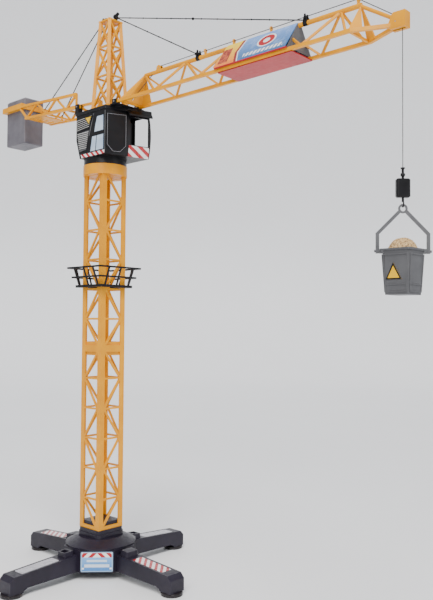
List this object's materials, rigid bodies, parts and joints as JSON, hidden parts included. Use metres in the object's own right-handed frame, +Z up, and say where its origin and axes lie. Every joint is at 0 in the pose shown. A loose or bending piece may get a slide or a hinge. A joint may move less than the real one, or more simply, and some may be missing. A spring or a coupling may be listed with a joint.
{
  "type": "toy tower crane",
  "caption": "Toy tower crane with a lattice mast on a cross base, a slewing cab, a jib with a sign panel and a hoisted bucket of sand.",
  "frame": {"origin": "on the ground, on the mast's axis, between the four feet", "axes": "+Z up along the mast, +X along the jib, +Y to the left of the jib as seen from the mast"},
  "size_m": [0.9079, 0.396, 0.99],
  "materials": {
    "yellow_plastic": "satin",
    "black_plastic": "satin",
    "base_plastic": "satin",
    "grey_plastic": "satin",
    "ballast_plastic": "satin",
    "white_plastic": "satin",
    "red_plastic": "satin",
    "printed_label": "gloss",
    "pad_rubber": "matte",
    "screw_steel": "satin",
    "motor_can": "satin",
    "rope": "matte",
    "sand": "matte"
  },
  "bodies": {
    "base": {"base_cross": "base_plastic", "mast_collar": "base_plastic", "hub_dome": "base_plastic", "arm_covers": "base_plastic", "arm_buckles": "base_plastic", "foot_pads": "pad_rubber", "arm_inlays": "printed_label", "hub_label_plates": "printed_label", "base_screws": "screw_steel", "mast_lower_section": "yellow_plastic", "mast_upper_section": "yellow_plastic", "mast_joiner": "yellow_plastic", "platform_deck": "black_plastic", "platform_railing": "black_plastic", "slew_ring": "yellow_plastic", "slew_gear": "white_plastic", "king_bolt": "screw_steel"},
    "slewing": {"turntable": "black_plastic", "house_near_shell": "black_plastic", "house_far_shell": "black_plastic", "house_floor": "black_plastic", "house_roof": "black_plastic", "cab_bulkhead": "black_plastic", "cab_door": "black_plastic", "side_louvres": "black_plastic", "side_grille": "grey_plastic", "windscreen_stripe_plate": "printed_label", "tower_head": "yellow_plastic", "stay_hooks": "black_plastic", "jib_lugs": "black_plastic", "counter_jib_lugs": "black_plastic", "lug_pins": "screw_steel", "jib_inner_section": "yellow_plastic", "jib_outer_section": "yellow_plastic", "jib_tip": "yellow_plastic", "banner_near_panel": "printed_label", "banner_far_panel": "printed_label", "banner_floor": "red_plastic", "rope_guides": "yellow_plastic", "stay_lugs": "black_plastic", "short_front_stay": "black_plastic", "long_front_stay": "black_plastic", "rear_stays": "black_plastic", "counter_jib_frame": "yellow_plastic", "counterweight": "ballast_plastic", "winch_frame": "white_plastic", "winch_motor": "motor_can", "slew_motor": "motor_can", "wheel_axles": "screw_steel", "hoist_rope_run": "rope"},
    "slew_pinion_body": {"slew_pinion": "white_plastic"},
    "drum": {"winch_drum": "white_plastic"},
    "roller": {"root_roller": "black_plastic"},
    "pulley": {"tip_pulley": "black_plastic"},
    "hanging_rope": {"hoist_rope_drop": "rope"},
    "block": {"hook_block": "black_plastic"},
    "hook_body": {"hook": "black_plastic"},
    "bail_body": {"bail": "grey_plastic"},
    "bucket_body": {"bucket": "grey_plastic", "sand_load": "sand"}
  },
  "joints": [
    {"name": "slew", "type": "hinge", "parent": "base", "child": "slewing", "pos_m": [0, 0, 0.7152], "axis": [0, 0, 1], "range_deg": [-175, 175]},
    {"name": "pinion_turn", "type": "hinge", "parent": "slewing", "child": "slew_pinion_body", "pos_m": [0, 0.026, 0.7152], "axis": [0, 0, 1], "range_deg": [-600, 600]},
    {"name": "rope_swing", "type": "hinge", "parent": "slewing", "child": "hanging_rope", "pos_m": [0.5886, 0, 0.81585], "axis": [0, 1, 0], "range_deg": [-12, 12]},
    {"name": "hoist", "type": "slide", "parent": "hanging_rope", "child": "block", "axis": [0, 0, 1], "range_m": [-0.46, 0.16], "deforming": ["hoist_rope_drop"]},
    {"name": "drum_turn", "type": "hinge", "parent": "slewing", "child": "drum", "pos_m": [0, 0, 0.785], "axis": [0, -1, 0], "continuous": true},
    {"name": "pulley_turn", "type": "hinge", "parent": "slewing", "child": "pulley", "pos_m": [0.58194, 0, 0.8209], "axis": [0, -1, 0], "continuous": true},
    {"name": "roller_turn", "type": "hinge", "parent": "slewing", "child": "roller", "pos_m": [0.14006, 0, 0.86355], "axis": [0, -1, 0], "continuous": true},
    {"name": "hook_swivel", "type": "hinge", "parent": "block", "child": "hook_body", "pos_m": [0.5886, 0, 0.595], "axis": [0, 0, 1], "continuous": true},
    {"name": "bail_swing", "type": "hinge", "parent": "hook_body", "child": "bail_body", "pos_m": [0.5886, 0, 0.58315], "axis": [0.6972, -0.7169, 0], "range_deg": [-18, 18]},
    {"name": "bucket_tip", "type": "hinge", "parent": "bail_body", "child": "bucket_body", "pos_m": [0.5886, 0, 0.527], "axis": [0.7169, 0.6972, 0], "range_deg": [-90, 90]}
  ],
  "couplings": [
    {"joint": "pinion_turn", "follows": "slew", "ratio": 3.3333},
    {"joint": "drum_turn", "follows": "hoist", "rad_per_m": 104},
    {"joint": "pulley_turn", "follows": "hoist", "rad_per_m": 151.5},
    {"joint": "roller_turn", "follows": "hoist", "rad_per_m": 277.8}
  ]
}
